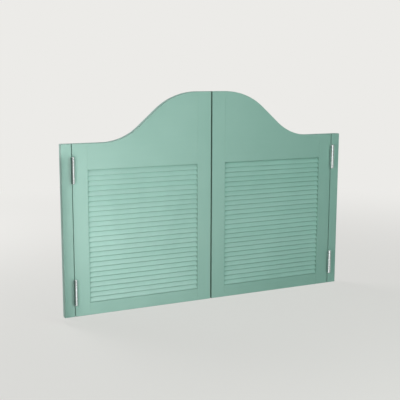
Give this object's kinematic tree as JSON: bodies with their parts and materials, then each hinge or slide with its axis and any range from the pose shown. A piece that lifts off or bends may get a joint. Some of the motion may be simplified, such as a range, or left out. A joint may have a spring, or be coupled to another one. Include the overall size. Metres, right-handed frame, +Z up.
{
  "type": "saloon doors",
  "caption": "Pair of painted saloon doors with ogee crowns and fixed louvres, on double-action spring hinges between two frame strips.",
  "frame": {"origin": "middle of the opening, at the doors' lower edge and in the middle of their thickness", "axes": "+X to the right as seen from the front, +Y to the rear, +Z up"},
  "size_m": [1.2, 0.0586, 0.823],
  "materials": {
    "painted_wood": "satin mint green paint",
    "hinge_metal": "bright nickel plate",
    "spring_steel": "oiled spring steel",
    "screw_steel": "plated steel"
  },
  "bodies": {
    "frame": {"left_jamb": "painted_wood", "left_lower_hinge_jamb_plate": "hinge_metal", "left_lower_hinge_jamb_pin": "hinge_metal", "left_lower_hinge_jamb_collar": "hinge_metal", "left_upper_hinge_jamb_plate": "hinge_metal", "left_upper_hinge_jamb_pin": "hinge_metal", "left_upper_hinge_jamb_collar": "hinge_metal", "left_jamb_hinge_screws": "screw_steel", "left_jamb_stop_pins": "screw_steel", "right_jamb": "painted_wood", "right_lower_hinge_jamb_plate": "hinge_metal", "right_lower_hinge_jamb_pin": "hinge_metal", "right_lower_hinge_jamb_collar": "hinge_metal", "right_upper_hinge_jamb_plate": "hinge_metal", "right_upper_hinge_jamb_pin": "hinge_metal", "right_upper_hinge_jamb_collar": "hinge_metal", "right_jamb_hinge_screws": "screw_steel", "right_jamb_stop_pins": "screw_steel"},
    "left_webs": {"left_lower_hinge_web": "hinge_metal", "left_lower_hinge_jamb_spring": "spring_steel", "left_lower_hinge_leaf_spring": "spring_steel", "left_upper_hinge_web": "hinge_metal", "left_upper_hinge_jamb_spring": "spring_steel", "left_upper_hinge_leaf_spring": "spring_steel"},
    "left_leaf": {"left_meeting_stile": "painted_wood", "left_hinge_stile": "painted_wood", "left_top_rail": "painted_wood", "left_bottom_rail": "painted_wood", "left_louvre_slats": "painted_wood", "left_lower_hinge_leaf_plate": "hinge_metal", "left_lower_hinge_leaf_pin": "hinge_metal", "left_lower_hinge_leaf_collar": "hinge_metal", "left_upper_hinge_leaf_plate": "hinge_metal", "left_upper_hinge_leaf_pin": "hinge_metal", "left_upper_hinge_leaf_collar": "hinge_metal", "left_leaf_hinge_screws": "screw_steel", "left_leaf_stop_pins": "screw_steel"},
    "right_webs": {"right_lower_hinge_web": "hinge_metal", "right_lower_hinge_jamb_spring": "spring_steel", "right_lower_hinge_leaf_spring": "spring_steel", "right_upper_hinge_web": "hinge_metal", "right_upper_hinge_jamb_spring": "spring_steel", "right_upper_hinge_leaf_spring": "spring_steel"},
    "right_leaf": {"right_meeting_stile": "painted_wood", "right_hinge_stile": "painted_wood", "right_top_rail": "painted_wood", "right_bottom_rail": "painted_wood", "right_louvre_slats": "painted_wood", "right_lower_hinge_leaf_plate": "hinge_metal", "right_lower_hinge_leaf_pin": "hinge_metal", "right_lower_hinge_leaf_collar": "hinge_metal", "right_upper_hinge_leaf_plate": "hinge_metal", "right_upper_hinge_leaf_pin": "hinge_metal", "right_upper_hinge_leaf_collar": "hinge_metal", "right_leaf_hinge_screws": "screw_steel", "right_leaf_stop_pins": "screw_steel"}
  },
  "joints": [
    {"name": "left_swing_forward", "type": "hinge", "parent": "frame", "child": "left_webs", "pos_m": [-0.5605, -0.021, 0], "axis": [0, 0, -1], "range_deg": [0, 90], "stiffness_Nm_per_rad": 4, "springref_deg": -22.92},
    {"name": "left_swing_back", "type": "hinge", "parent": "left_webs", "child": "left_leaf", "pos_m": [-0.5605, 0.021, 0], "axis": [0, 0, 1], "range_deg": [0, 90], "stiffness_Nm_per_rad": 4, "springref_deg": -22.92},
    {"name": "right_swing_back", "type": "hinge", "parent": "frame", "child": "right_webs", "pos_m": [0.5605, 0.021, 0], "axis": [0, 0, -1], "range_deg": [0, 90], "stiffness_Nm_per_rad": 4, "springref_deg": -22.92},
    {"name": "right_swing_forward", "type": "hinge", "parent": "right_webs", "child": "right_leaf", "pos_m": [0.5605, -0.021, 0], "axis": [0, 0, 1], "range_deg": [0, 90], "stiffness_Nm_per_rad": 4, "springref_deg": -22.92}
  ]
}
